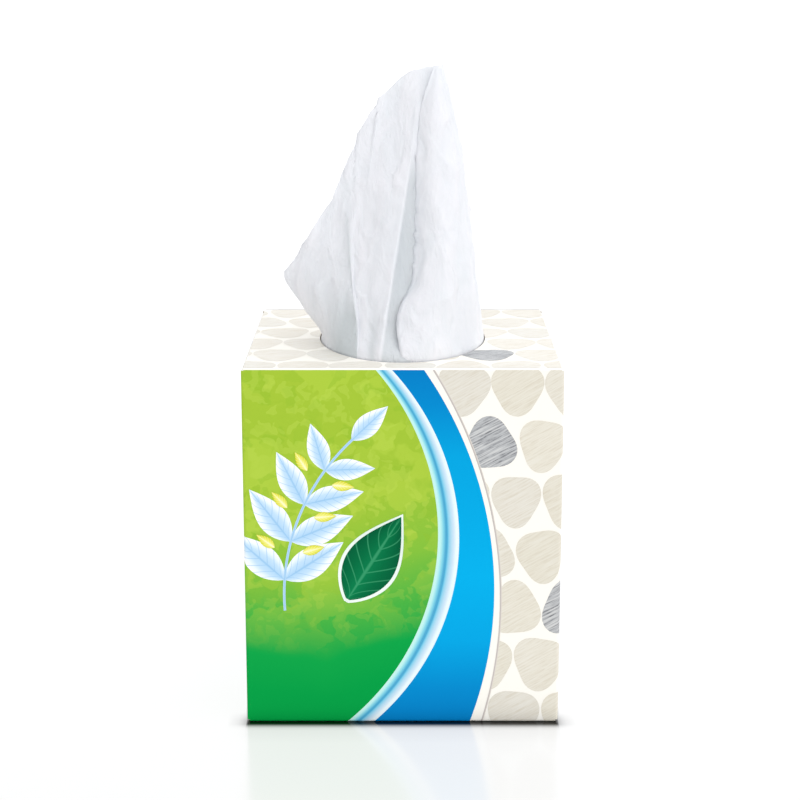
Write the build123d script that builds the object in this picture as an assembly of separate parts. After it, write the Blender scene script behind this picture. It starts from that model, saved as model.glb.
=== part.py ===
from build123d import *
from math import cos, pi, radians, sin, sqrt
import os

# Upright tissue box: a glued paperboard carton, the clip of interfolded tissues bent over inside it,
# the one tissue that stands up through the oval opening, and the printed fields on the board.
# The origin is at the centre of the base, +Z is up, and the printed front faces -Y.

# Carton, in millimetres
carton_width = 111.0
carton_depth = 111.0
carton_height = 129.5
board = 0.5
fold_radius = 0.9
flap_setback = 0.9
flap_clearance = 0.5
top_dust_flap = 20.0
bottom_dust_flap = 30.0
dust_flap_chamfer = 8.0
glue_flap = 13.0
glue_flap_taper = 5.0
overrun = 5.0

# Oval opening in the top
opening_width = 61.0
opening_length = 93.0
inner_cutout_margin = 3.0

# Tissues
clip_thickness = 30.0
clip_side_clearance = 3.0
clip_end_clearance = 1.75
clip_head_clearance = 6.5
clip_foot_squash = 1.5
tissue_thickness = 0.6
tissue_height = 100.0
tissue_seat = 0.3

# Printed fields: how far each arc reaches from the front left fold, the height of its centre and its radius
ink = 0.05
green_reach = 67.9
green_centre_height = 69.8
green_radius = 91.6
blue_inner_reach = 75.3
blue_inner_centre_height = 67.8
blue_inner_radius = 91.4
blue_outer_reach = 87.8
blue_outer_centre_height = 48.1
blue_outer_radius = 143.4
shadow_reach = 89.8
shadow_centre_height = 44.7
shadow_radius = 159.6
shadow_line = 0.7
sky_line = 1.3

# Pebble pattern
pebble_width = 17.4
pebble_height = 19.0
pebble_column_pitch = 18.5
pebble_row_pitch = 20.0
pebble_first_row = 2.5
pebble_first_column = 2.5

# Sprig of leaves on the green field, placed from the front left fold and the base
stem_thickness = 0.9
stem_foot_place = (14.0, 42.0)
stem_middle_place = (20.0, 78.0)
stem_tip_place = (40.0, 106.0)
leaf_length = 25.0
leaf_width = 11.0
bud_length = 8.0
bud_width = 3.6
dark_leaf_place = (36.0, 46.0)
dark_leaf_length = 36.0
dark_leaf_width = 18.0
dark_leaf_border = 1.2


class Panel:
    """One outer wall of the carton: its plane, its width and how many flap layers lie beyond its folds."""

    def __init__(self, plane, width, layers):
        self.plane = plane
        self.width = width
        self.low = layers * board + fold_radius
        self.high = carton_height - self.low
        self.flat = width - 2 * fold_radius

    def printable(self):
        """The flat of the wall between its four folds."""
        middle = (self.low + self.high) / 2
        return Pos(0, middle) * Rectangle(self.flat, self.high - self.low)

    def ink_layer(self, shapes, layer=0):
        """Shapes drawn on the flat of the wall, as a thin skin of ink outside it."""
        level = self.plane.offset(layer * ink)
        return extrude(level * (shapes & self.printable()), amount=ink, dir=level.z_dir)


half_width = carton_width / 2
half_depth = carton_depth / 2
front = Panel(Plane((0, -half_depth, 0), x_dir=(1, 0, 0), z_dir=(0, -1, 0)), carton_width, 0)
right = Panel(Plane((half_width, 0, 0), x_dir=(0, 1, 0), z_dir=(1, 0, 0)), carton_depth, 2)
back = Panel(Plane((0, half_depth, 0), x_dir=(-1, 0, 0), z_dir=(0, 1, 0)), carton_width, 1)
left = Panel(Plane((-half_width, 0, 0), x_dir=(0, -1, 0), z_dir=(-1, 0, 0)), carton_depth, 2)
oval = Ellipse(opening_width / 2, opening_length / 2)


# Carton

def folded_strip(plane, across, rise, top_end, bottom_end, width):
    """A wall with a flap folded in at its foot and at its head: one strip of board of even thickness."""
    wall = across - board / 2
    low = rise + board / 2
    high = carton_height - low
    run = [(bottom_end, low), (wall, low), (wall, high), (top_end, high)]
    path = FilletPolyline(*run, radius=fold_radius - board / 2)
    return extrude(plane * trace(path, line_width=board), amount=width / 2, both=True)


def dust_flap_corners(end, height, width):
    """The four corners cut from the free ends of one wall's dust flap."""
    corners = Part()
    for side in (-1, 1):
        corner = Pos(end, side * width / 2, height) * Rot(0, 0, 45)
        corners += corner * Box(sqrt(2) * dust_flap_chamfer, sqrt(2) * dust_flap_chamfer, board)
    return corners


def make_carton():
    side_width = carton_depth - 2 * fold_radius
    major_width = carton_width - 2 * flap_setback
    outer_end = half_depth - flap_setback
    inner_end = half_depth - board - flap_clearance
    carton = folded_strip(Plane.YZ, half_depth, board, -inner_end, -inner_end, major_width)
    carton += mirror(
        folded_strip(Plane.YZ, half_depth, 0, -outer_end, -outer_end, major_width), about=Plane.XZ
    )
    top_end = half_width - top_dust_flap
    bottom_end = half_width - bottom_dust_flap
    side = folded_strip(Plane.XZ, half_width, 2 * board, top_end, bottom_end, side_width)
    side -= dust_flap_corners(top_end, carton_height - 5 * board / 2, side_width)
    side -= dust_flap_corners(bottom_end, 5 * board / 2, side_width)
    carton += side + mirror(side, about=Plane.YZ)
    fold_height = carton_height - 2 * fold_radius
    fold = Cylinder(fold_radius, fold_height) - Cylinder(fold_radius - board, fold_height)
    for side_x in (-1, 1):
        for side_y in (-1, 1):
            quarter = Pos(side_x * fold_radius, side_y * fold_radius) * Box(
                2 * fold_radius, 2 * fold_radius, fold_height
            )
            corner = Pos(side_x * (half_width - fold_radius), side_y * (half_depth - fold_radius))
            carton += Pos(0, 0, carton_height / 2) * corner * (fold & quarter)
    carton += make_glue_flap()
    opening = extrude(Pos(0, 0, carton_height - board) * oval, amount=overrun)
    cutout = Ellipse(opening_width / 2 + inner_cutout_margin, opening_length / 2 + inner_cutout_margin)
    opening += extrude(Pos(0, 0, carton_height - board) * cutout, amount=-overrun)
    return carton - opening


def make_glue_flap():
    """The flap that runs on from the left wall and is glued inside the back wall."""
    start = -half_width + fold_radius
    end = start + glue_flap
    low = 3 * board + flap_clearance
    high = carton_height - low
    shape = Polygon(
        (start, low), (end, low + glue_flap_taper), (end, high - glue_flap_taper), (start, high), align=None
    )
    return Pos(0, half_depth - board) * extrude(Plane.XZ * shape, amount=board)


# Clip of tissues: every sheet is equally long, so the legs of the bend end on a slant

clip_floor = 3 * board
clip_width = carton_width - 2 * (board + clip_end_clearance)
clip_outer_radius = half_depth - board - clip_side_clearance
clip_bend_radius = clip_outer_radius - clip_thickness
clip_bend_height = carton_height - 3 * board - clip_head_clearance - clip_outer_radius
clip_inner_leg = clip_bend_height - clip_floor + clip_foot_squash
sheet_length = 2 * clip_inner_leg + pi * clip_bend_radius
clip_outer_leg = (sheet_length - pi * clip_outer_radius) / 2


def make_clip():
    top = Pos(0, clip_bend_height) * (Circle(clip_outer_radius) - Circle(clip_bend_radius))
    upper = Pos(0, clip_bend_height + clip_outer_radius / 2) * Rectangle(
        2 * clip_outer_radius, clip_outer_radius
    )
    leg = Polygon(
        (clip_bend_radius, clip_bend_height),
        (clip_bend_radius, clip_bend_height - clip_inner_leg),
        (clip_outer_radius, clip_bend_height - clip_outer_leg),
        (clip_outer_radius, clip_bend_height),
        align=None,
    )
    above_floor = Pos(0, clip_floor + carton_height / 2) * Rectangle(carton_depth, carton_height)
    profile = (top & upper) + ((leg + mirror(leg, about=Plane.YZ)) & above_floor)
    return extrude(Plane.YZ * profile, amount=clip_width / 2, both=True)


# The tissue that stands in the opening: a strip that winds once round, shown by its section at seven levels.
# Each level has its height, in tissue heights above the top, and then the places of the strip's folds, in half
# openings across and along: the free edge of the right flap, its front, its right front, the right fold, three
# folds at the back, the left fold, the left front, a crest, the crease behind it, the end of a pleat, the lip
# beside the flap, the floor of the valley and the end behind the flap.

tissue_level_shares = (
    (-0.36, (-0.02, -0.92), (0.33, -0.92), (0.84, -0.50), (0.94, 0.06), (0.70, 0.39), (-0.07, 0.30),
     (-0.67, 0.25), (-0.92, -0.22), (-0.78, -0.57), (-0.53, -0.77), (-0.48, -0.74), (-0.34, -0.79),
     (-0.25, -0.90), (-0.14, -0.84), (0.23, -0.80)),
    (0.00, (-0.02, -0.95), (0.34, -0.95), (0.86, -0.52), (0.97, 0.06), (0.72, 0.41), (-0.07, 0.32),
     (-0.69, 0.26), (-0.95, -0.23), (-0.80, -0.58), (-0.55, -0.79), (-0.50, -0.77), (-0.35, -0.82),
     (-0.25, -0.93), (-0.15, -0.87), (0.23, -0.84)),
    (0.14, (-0.07, -0.86), (0.39, -0.87), (0.85, -0.52), (0.96, 0.00), (0.70, 0.30), (-0.05, 0.23),
     (-0.74, 0.17), (-1.21, -0.24), (-0.89, -0.52), (-0.59, -0.70), (-0.54, -0.68), (-0.37, -0.72),
     (-0.20, -0.83), (-0.10, -0.78), (0.26, -0.75)),
    (0.27, (0.10, -0.74), (0.43, -0.80), (0.80, -0.53), (0.94, -0.09), (0.69, 0.19), (-0.03, 0.13),
     (-0.79, 0.09), (-1.48, -0.22), (-0.98, -0.44), (-0.62, -0.59), (-0.58, -0.58), (-0.39, -0.62),
     (-0.12, -0.73), (-0.03, -0.68), (0.33, -0.66)),
    (0.68, (0.16, -0.55), (0.38, -0.58), (0.64, -0.44), (0.77, -0.20), (0.56, -0.02), (0.07, -0.05),
     (-0.79, -0.08), (-1.64, -0.19), (-0.98, -0.31), (-0.56, -0.39), (-0.51, -0.39), (-0.26, -0.43),
     (0.09, -0.53), (0.16, -0.49), (0.38, -0.45)),
    (0.87, (0.22, -0.45), (0.38, -0.48), (0.53, -0.40), (0.62, -0.28), (0.46, -0.15), (0.10, -0.15),
     (-0.79, -0.15), (-1.64, -0.22), (-0.98, -0.28), (-0.49, -0.32), (-0.43, -0.33), (-0.20, -0.35),
     (0.15, -0.43), (0.24, -0.40), (0.38, -0.35)),
    (1.04, (0.48, -0.35), (0.51, -0.37), (0.55, -0.35), (0.58, -0.31), (0.49, -0.26), (0.16, -0.24),
     (-0.72, -0.20), (-1.64, -0.22), (-0.98, -0.25), (-0.46, -0.27), (-0.39, -0.28), (-0.13, -0.29),
     (0.30, -0.34), (0.38, -0.33), (0.46, -0.31)),
)
# Share of the shorter run beside each fold that its rounding takes, in the same order
tissue_fold_shares = (0.9, 0.9, 0.7, 0.9, 0.9, 0.9, 0.35, 0.9, 0.6, 0.6, 0.8, 0.6, 0.9)
tissue_band_count = 8
clip_facet_count = 24
# The outline seen from the front, in half openings across and tissue heights up
left_corner_share = (-1.43, 0.26)
left_kink_share = (-0.25, 0.89)
left_round_share = (0.03, 0.967)
tip_share = (0.42, 1.0)
right_round_share = (0.57, 0.90)
right_shoulder_share = (0.70, 0.75)


def rounded_run(places):
    """The run of the strip past the places of its folds, with three points round each fold."""
    run = [places[0]]
    for before, fold, after, share in zip(places, places[1:], places[2:], tissue_fold_shares):
        room = share * min((before - fold).length, (after - fold).length) / 2
        start = fold + (before - fold).normalized() * room
        end = fold + (after - fold).normalized() * room
        run += [start, (start + fold * 2 + end) / 4, end]
    return run + [places[-1]]


def strip_sides(run):
    """The points along the two sides of a thin strip that follows a run."""
    sides = ([], [])
    for before, point, after in zip(run[:1] + run, run, run[1:] + run[-1:]):
        chord = after - before
        step = Vector(-chord.Y, chord.X).normalized() * tissue_thickness / 2
        sides[0].append(point + step)
        sides[1].append(point - step)
    return sides


def flat_faces(low, high):
    """Pairs of flat triangles between two rows of points."""
    faces = []
    for i in range(len(low) - 1):
        faces.append(Face(Wire.make_polygon([low[i], low[i + 1], high[i + 1]])))
        faces.append(Face(Wire.make_polygon([low[i], high[i + 1], high[i]])))
    return faces


def faceted_strip(levels):
    """A solid of flat faces from the two sides of a strip at each level."""
    faces = []
    for sides in (levels[0], levels[-1]):
        faces.append(Face(Wire.make_polygon(sides[0] + sides[1][::-1])))
    for low, high in zip(levels, levels[1:]):
        for side in (0, 1):
            faces += flat_faces(low[side], high[side])
        for end in (0, -1):
            faces += flat_faces([low[0][end], low[1][end]], [high[0][end], high[1][end]])
    return Solid(Shell(faces))


def tissue_point(share):
    """A place on the outline seen from the front."""
    return share[0] * opening_width / 2, carton_height + share[1] * tissue_height


def make_standing_tissue():
    levels = []
    for height, *places in tissue_level_shares:
        z = carton_height + height * tissue_height
        levels.append([(x * opening_width / 2, y * opening_length / 2, z) for x, y in places])
    folds = [Spline(*places) for places in zip(*levels)]
    rows = []
    for band in range(tissue_band_count + 1):
        places = [fold.position_at(band / tissue_band_count) for fold in folds]
        rows.append(strip_sides(rounded_run(places)))
    winding = faceted_strip(rows)
    corner = tissue_point(left_corner_share)
    kink = tissue_point(left_kink_share)
    tip = tissue_point(tip_share)
    shoulder = tissue_point(right_shoulder_share)
    upper = Line(corner, kink) + ThreePointArc(kink, tissue_point(left_round_share), tip)
    upper += ThreePointArc(tip, tissue_point(right_round_share), shoulder)
    lower = Polyline(shoulder, (half_width, shoulder[1]), (half_width, 0), (-half_width, 0),
                     (-half_width, corner[1]), corner)
    outline = make_face(upper.edges() + lower.edges())
    silhouette = extrude(Plane.XZ * outline, amount=half_depth, both=True)
    clip_bend = RegularPolygon(clip_outer_radius + tissue_seat, clip_facet_count, major_radius=False)
    clip_space = extrude(Plane.YZ.offset(-half_width) * Pos(0, clip_bend_height) * clip_bend, amount=carton_width)
    return (winding & silhouette) - clip_space


# Printed fields, which run round the front left fold and close in mirror image on the left wall

def disc(panel, reach, height, radius):
    """A round field on the front or the left wall, given by its reach from the fold between them."""
    side = 1 if panel is front else -1
    fold = -side * panel.width / 2
    return Pos(fold + side * (reach - radius), height) * Circle(radius)


def green_disc(panel, margin=0):
    return disc(panel, green_reach + margin, green_centre_height, green_radius + margin)


def blue_inner_disc(panel):
    return disc(panel, blue_inner_reach, blue_inner_centre_height, blue_inner_radius)


def blue_outer_disc(panel):
    return disc(panel, blue_outer_reach, blue_outer_centre_height, blue_outer_radius)


def shadow_disc(panel, margin=0):
    return disc(panel, shadow_reach + margin, shadow_centre_height, shadow_radius + margin)


def sky_ring(panel):
    """The thin line half way between the green and the blue."""
    reach = (green_reach + blue_inner_reach) / 2
    height = (green_centre_height + blue_inner_centre_height) / 2
    radius = (green_radius + blue_inner_radius) / 2
    outer = disc(panel, reach + sky_line / 2, height, radius + sky_line / 2)
    inner = disc(panel, reach - sky_line / 2, height, radius - sky_line / 2)
    return outer - inner


def make_green_field():
    low = max(front.low, left.low)
    height = carton_height - 2 * low
    skin = Cylinder(fold_radius + ink, height) - Cylinder(fold_radius, height)
    quarter = Pos(-fold_radius, -fold_radius) * Box(2 * fold_radius, 2 * fold_radius, height)
    fold = Pos(fold_radius - half_width, fold_radius - half_depth, carton_height / 2) * (skin & quarter)
    return front.ink_layer(green_disc(front)) + left.ink_layer(green_disc(left)) + fold


def make_pale_stripe():
    return [p.ink_layer(blue_inner_disc(p) - green_disc(p)) for p in (front, left)]


def make_sky_line():
    return [p.ink_layer(sky_ring(p), 1) for p in (front, left)]


def make_blue_band():
    return [p.ink_layer(blue_outer_disc(p) - blue_inner_disc(p)) for p in (front, left)]


def make_shadow_line():
    return [p.ink_layer(shadow_disc(p, shadow_line) - shadow_disc(p)) for p in (front, left)]


# Pebble pattern, which runs on round the walls from the front to the left and covers the top

pebble_side_count = 8
pebble_bulge_share = 0.11
pebble_variation_share = 0.05
pebble_tilt_angle = 9
pebble_up_count = 7
pebble_row_count = 29
grey_every_count = 16
grey_shift_count = 6
grey_first_count = 2


def pebble(x, y, number):
    """A rounded triangle that hangs on its point, with some turned up and no two quite alike."""
    up = 1 if number % pebble_up_count == 0 else -1
    tilt = radians(pebble_tilt_angle * sin(2 * number) + 90 * up)
    width = pebble_width * (1 + pebble_variation_share * sin(3 * number))
    height = pebble_height * (1 + pebble_variation_share * cos(5 * number))
    outline = []
    for i in range(pebble_side_count):
        angle = 2 * pi * (i + 0.5) / pebble_side_count
        swell = 1 + pebble_bulge_share * cos(3 * (angle - tilt))
        outline.append((x + width / 2 * swell * cos(angle), y + height / 2 * swell * sin(angle)))
    return Polygon(*outline, align=None)


def is_grey(row, column):
    return (grey_shift_count * row + column) % grey_every_count == grey_first_count


def pebbles_within(grey, start, width, low, high):
    """The cream or grey pebbles on a stretch of the pattern, from start to start + width along it."""
    shapes = []
    for row in range(-1, int((high - low) / pebble_row_pitch) + 3):
        y = low + pebble_first_row + row * pebble_row_pitch
        shift = pebble_first_column + (row % 2) * pebble_column_pitch / 2
        first = int((start - shift) / pebble_column_pitch) - 1
        for column in range(first, first + int(width / pebble_column_pitch) + 4):
            x = shift + column * pebble_column_pitch - start - width / 2
            inside = abs(x) < (width + pebble_width) / 2 and low < y + pebble_height / 2
            if inside and y - pebble_height / 2 < high and is_grey(row, column) == grey:
                shapes.append(pebble(x, y, pebble_row_count * row + column))
    return shapes


def make_pebbles(grey):
    start = 0
    layers = []
    for panel in (front, right, back, left):
        shapes = Sketch() + pebbles_within(grey, start, panel.width, 0, carton_height)
        if panel in (front, left):
            shapes -= shadow_disc(panel, shadow_line)
        layers.append(panel.ink_layer(shapes))
        start += panel.width
    top_flat = Pos(0, (fold_radius - flap_setback) / 2) * Rectangle(
        carton_width - 2 * flap_setback, carton_depth - fold_radius - flap_setback
    )
    shapes = Sketch() + pebbles_within(grey, start, carton_width, -half_depth, half_depth)
    layers.append(extrude(Pos(0, 0, carton_height) * ((shapes & top_flat) - oval), amount=ink))
    return layers


# Sprig of leaves, over the green

leaf_side_count = 6
leaf_belly_share = 0.8
leaf_place_shares = (0.16, 0.36, 0.56, 0.76)
leaf_size_shares = (1.0, 0.95, 0.85, 0.7)
tip_leaf_share = 0.96
bud_place_shares = (0.28, 0.48, 0.68)
bud_shoulder_share = 0.3
leaf_angle = 52
bud_angle = 64
dark_leaf_angle = 58


def leaf(length, width):
    """A leaf that lies along +X from its stalk, broadest near the stalk and drawn out to a point."""
    lower = []
    for i in range(leaf_side_count):
        share = i / leaf_side_count
        lower.append((share * length, -width / 2 * sin(pi * share**leaf_belly_share)))
    return Polygon(*lower, (length, 0), *[(x, -y) for x, y in lower[:0:-1]], align=None)


def bud():
    """A small closed bud with six straight sides."""
    shoulder = bud_shoulder_share * bud_length
    side = bud_width / 2
    return Polygon(
        (0, 0), (shoulder, side), (bud_length - shoulder, side), (bud_length, 0),
        (bud_length - shoulder, -side), (shoulder, -side), align=None,
    )


def stem_line():
    fold = -front.width / 2
    places = [(fold + across, up) for across, up in (stem_foot_place, stem_middle_place, stem_tip_place)]
    return ThreePointArc(*places)


def on_stem(share, turn, shape):
    """A shape that springs from the stem at a share of its length, turned away from it."""
    stem = stem_line()
    place = stem.position_at(share)
    heading = stem.tangent_angle_at(share)
    return Pos(place.X, place.Y) * Rot(0, 0, heading + turn) * shape


def make_leaf_sprig():
    shapes = Sketch() + trace(stem_line(), line_width=stem_thickness)
    for share, size in zip(leaf_place_shares, leaf_size_shares):
        for turn in (-leaf_angle, leaf_angle):
            shapes += on_stem(share, turn, leaf(size * leaf_length, size * leaf_width))
    size = leaf_size_shares[-1]
    shapes += on_stem(tip_leaf_share, 0, leaf(size * leaf_length, size * leaf_width))
    return front.ink_layer(shapes, 1)


def make_sprig_buds():
    shapes = Sketch()
    for share in bud_place_shares:
        for turn in (-bud_angle, bud_angle):
            shapes += on_stem(share, turn, Pos(leaf_width / 2, 0) * bud())
    return front.ink_layer(shapes, 2)


def dark_leaf_shape(margin):
    size = leaf(dark_leaf_length + 2 * margin, dark_leaf_width + 2 * margin)
    place = Pos(dark_leaf_place[0] - front.width / 2, dark_leaf_place[1])
    return place * Rot(0, 0, dark_leaf_angle) * Pos(-margin, 0) * size


def make_dark_leaf_border():
    return front.ink_layer(dark_leaf_shape(dark_leaf_border), 2)


def make_dark_leaf():
    return front.ink_layer(dark_leaf_shape(0), 3)


def save(shape, name):
    """Writes one node; a list of shapes becomes one node of separate solids."""
    solids = ShapeList()
    for piece in shape if isinstance(shape, list) else [shape]:
        solids += piece.solids()
    export_step(solids[0] if len(solids) == 1 else Compound(children=solids), f"parts/{name}.step")


if __name__ == "__main__":
    os.makedirs("parts", exist_ok=True)
    save(make_carton(), "carton")
    save(make_clip(), "tissue_clip")
    save(make_standing_tissue(), "standing_tissue")
    save(make_green_field(), "green_field")
    save(make_pale_stripe(), "pale_stripe")
    save(make_sky_line(), "sky_line")
    save(make_blue_band(), "blue_band")
    save(make_shadow_line(), "shadow_line")
    save(make_pebbles(False), "cream_pebbles")
    save(make_pebbles(True), "grey_pebbles")
    save(make_leaf_sprig(), "leaf_sprig")
    save(make_sprig_buds(), "sprig_buds")
    save(make_dark_leaf_border(), "dark_leaf_border")
    save(make_dark_leaf(), "dark_leaf")
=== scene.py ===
import bmesh
import bpy
from math import cos, exp, floor, hypot, pi, radians, sin, sqrt
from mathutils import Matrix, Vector, noise


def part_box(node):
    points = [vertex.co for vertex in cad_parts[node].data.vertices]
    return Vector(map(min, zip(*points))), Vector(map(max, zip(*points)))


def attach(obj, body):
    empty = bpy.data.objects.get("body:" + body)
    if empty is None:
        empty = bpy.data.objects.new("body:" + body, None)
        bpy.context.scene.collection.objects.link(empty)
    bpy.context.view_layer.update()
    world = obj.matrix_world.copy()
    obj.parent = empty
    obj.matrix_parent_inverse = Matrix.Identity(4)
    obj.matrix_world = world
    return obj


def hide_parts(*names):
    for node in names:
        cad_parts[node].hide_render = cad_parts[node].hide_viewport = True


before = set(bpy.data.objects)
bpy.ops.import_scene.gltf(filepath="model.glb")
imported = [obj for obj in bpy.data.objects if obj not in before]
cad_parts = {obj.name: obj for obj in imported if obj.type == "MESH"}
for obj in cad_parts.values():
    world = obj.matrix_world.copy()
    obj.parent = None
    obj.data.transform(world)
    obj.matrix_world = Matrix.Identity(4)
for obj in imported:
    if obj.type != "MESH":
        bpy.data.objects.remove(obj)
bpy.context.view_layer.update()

# CARTON
# One blank of clay-coated paperboard, half a millimetre thick, die-cut, scored, folded and glued. The coated
# outside is warm white. The inside and the cut rim of the oval opening show the grey-brown fibre of the board.

board = 0.0005
fold_radius = 0.0009
carton_low, carton_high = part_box("carton")
carton_side = carton_high.x - carton_low.x
half_side = carton_side / 2
carton_height = carton_high.z


def feed(socket, value):
    """Sets an input to a value, or links another node's output to it."""
    if isinstance(value, bpy.types.NodeSocket):
        socket.id_data.links.new(value, socket)
    else:
        socket.default_value = value


def set_inputs(node, values):
    """Sets or links a node's named inputs, written with _ for each space."""
    for key, value in values.items():
        feed(node.inputs[key.replace("_", " ")], value)


def new_material(name, **values):
    """A material with an output and a Principled shader, and the values of the shader's named inputs."""
    material = bpy.data.materials.new(name)
    material.use_nodes = True
    nodes = material.node_tree.nodes
    shader = nodes["Principled BSDF"]
    set_inputs(shader, values)
    return material, nodes, shader


def linear(red, green, blue):
    """A colour given from 0 to 255, as the linear values that the shader takes."""
    return tuple(((c / 255 + 0.055) / 1.055) ** 2.4 if c > 10 else c / 255 / 12.92 for c in (red, green, blue)) + (1,)


def add_node(nodes, kind, settings=None, **inputs):
    """A node with its settings and its named inputs."""
    node = nodes.new(kind)
    for key, value in (settings or {}).items():
        setattr(node, key, value)
    set_inputs(node, inputs)
    return node


def maths(nodes, operation, *values):
    """The result of a Math node fed by numbers or by the outputs of other nodes."""
    node = add_node(nodes, "ShaderNodeMath", {"operation": operation})
    for socket, value in zip(node.inputs, values):
        feed(socket, value)
    return node.outputs[0]


def vector_maths(nodes, operation, *values):
    """The result of a Vector Math node, which is a number for a length, a distance or a dot product."""
    node = add_node(nodes, "ShaderNodeVectorMath", {"operation": operation})
    for socket, value in zip(node.inputs, values):
        feed(socket, value)
    return node.outputs["Value" if operation in ("LENGTH", "DISTANCE", "DOT_PRODUCT") else "Vector"]


def parts_of(nodes, vector):
    """The X, Y and Z of a vector."""
    return add_node(nodes, "ShaderNodeSeparateXYZ", Vector=vector).outputs


def ramp(nodes, factor, *stops):
    """A colour ramp. Each stop is a position and either a grey from 0 to 1 or a colour from 0 to 255."""
    node = add_node(nodes, "ShaderNodeValToRGB", Fac=factor)
    elements = node.color_ramp.elements
    while len(elements) < len(stops):
        elements.new(0.5)
    for element, (position, *tone) in zip(elements, stops):
        element.position = position
        element.color = linear(*tone) if len(tone) == 3 else (*tone * 3, 1)
    return node.outputs["Color"]


def mix_colour(nodes, factor, first, second, blend="MIX"):
    """A mix of two colours, each given as values or as an output."""
    node = add_node(nodes, "ShaderNodeMix", {"data_type": "RGBA", "blend_type": blend}, Factor=factor)
    first_colour, second_colour = node.inputs[6:8]
    feed(first_colour, first)
    feed(second_colour, second)
    return node.outputs[2]


def new_group(name, inputs, outputs):
    """A node group with named inputs (socket kind and default) and outputs (socket kind)."""
    group = bpy.data.node_groups.new(name, "ShaderNodeTree")
    for label, (kind, value) in inputs.items():
        socket = group.interface.new_socket(name=label, in_out="INPUT", socket_type="NodeSocket" + kind)
        if value is not None:
            socket.default_value = value
    for label, kind in outputs.items():
        group.interface.new_socket(name=label, in_out="OUTPUT", socket_type="NodeSocket" + kind)
    return group, group.nodes.new("NodeGroupInput"), group.nodes.new("NodeGroupOutput")


def place_group(nodes, group, **inputs):
    """A node group placed in a material with its own values."""
    return add_node(nodes, "ShaderNodeGroup", {"node_tree": group}, **inputs)


# Paper fibre: a fine random relief, the same under every ink and on the bare board
paper_fibre, fibre_in, fibre_out = new_group(
    "paper fibre",
    {"Grain": ("Float", 2500.0), "Waviness": ("Float", 60.0)},
    {"Height": "Float", "Tone": "Float"},
)
nodes = paper_fibre.nodes
fibre_place = add_node(nodes, "ShaderNodeTexCoord").outputs["Object"]
fine_fibre = add_node(nodes, "ShaderNodeTexNoise", Vector=fibre_place, Scale=fibre_in.outputs["Grain"],
                      Detail=3.0, Roughness=0.6).outputs["Fac"]
broad_waves = add_node(nodes, "ShaderNodeTexNoise", Vector=fibre_place, Scale=fibre_in.outputs["Waviness"],
                       Detail=1.0).outputs["Fac"]
wave_share = 6.0
feed(fibre_out.inputs["Height"], maths(nodes, "ADD", fine_fibre, maths(nodes, "MULTIPLY", broad_waves, wave_share)))
feed(fibre_out.inputs["Tone"], fine_fibre)


coated_gloss = 0.04


def paper_relief(nodes, shader, strength, depth):
    """The fibre of the board under a coat or an ink, as bump, with the low gloss of coated board."""
    feed(shader.inputs["Specular IOR Level"], coated_gloss)
    fibre = place_group(nodes, paper_fibre, Grain=2500.0, Waviness=60.0)
    bump = add_node(nodes, "ShaderNodeBump", Strength=strength, Distance=depth, Height=fibre.outputs["Height"])
    feed(shader.inputs["Normal"], bump.outputs["Normal"])
    return fibre


# Painted shade on the upper score of the back wall: a grey band laid over coat and ink along the back top edge,
# where the fold turns away from the light. A ramp takes 0 to 1 only, so the heights and depths, in metres, are
# stretched first
painted_back_fold_shade, _, back_shade_out = new_group("painted back fold shade", {}, {"Painted Shade": "Float"})
nodes = painted_back_fold_shade.nodes
parts = parts_of(nodes, add_node(nodes, "ShaderNodeTexCoord").outputs["Object"])
stretch_back, stretch_up = 10.0, 5.0
at_back = ramp(nodes, maths(nodes, "MULTIPLY", parts["Y"], stretch_back),
               (stretch_back * half_side - 0.0250, 0), (stretch_back * half_side - 0.0180, 1))
at_top = ramp(nodes, maths(nodes, "MULTIPLY", parts["Z"], stretch_up),
              (stretch_up * carton_height - 0.0070, 0), (stretch_up * carton_height - 0.0035, 0.8))
feed(back_shade_out.inputs["Painted Shade"], maths(nodes, "MULTIPLY", at_back, at_top))

coated_white = linear(250, 247, 239)
# The grey of the painted shade on the back top fold
painted_shade_grey = linear(182, 182, 184)
board_material, nodes, shader = new_material("coated board", Roughness=0.42)
fibre = paper_relief(nodes, shader, 0.12, 0.00008)
place = add_node(nodes, "ShaderNodeTexCoord")
from_middle = vector_maths(nodes, "SUBTRACT", place.outputs["Object"], (0, 0, carton_height / 2))
outward = vector_maths(nodes, "DOT_PRODUCT", from_middle, place.outputs["Normal"])
is_outside = maths(nodes, "GREATER_THAN", outward, 0.0)
flecks = ramp(nodes, fibre.outputs["Tone"], (0.3, 172, 160, 143), (0.62, 196, 187, 172))
# Painted shade: the coat turns grey along the back top fold
back_fold_shade = place_group(nodes, painted_back_fold_shade).outputs["Painted Shade"]
coat = mix_colour(nodes, back_fold_shade, coated_white, painted_shade_grey)
feed(shader.inputs["Base Color"], mix_colour(nodes, is_outside, flecks, coat))
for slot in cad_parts["carton"].material_slots:
    slot.material = board_material

# PRINT ON THE WALLS
# Inks are rolled onto the flat blank before it is cut and folded, so each field runs on unbroken round the
# scored corners. The flat print is measured from the front left fold and the base, then wrapped on the walls.

ink_lift = 0.00005
flap_rises = (0, 2 * board, board, 2 * board)
ink_under_base = radians(66) * fold_radius
ink_over_top = radians(18) * fold_radius


def past_corner(along):
    """How far a place on the flat print is from the nearest corner fold."""
    return along - round(along / carton_side) * carton_side


def flap_fold_start(along):
    """How high the lower fold of a wall starts. The flaps of each wall lie on those of the one before."""
    if abs(past_corner(along)) < fold_radius:
        return fold_radius
    return fold_radius + flap_rises[floor(along / carton_side) % 4]


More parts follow.
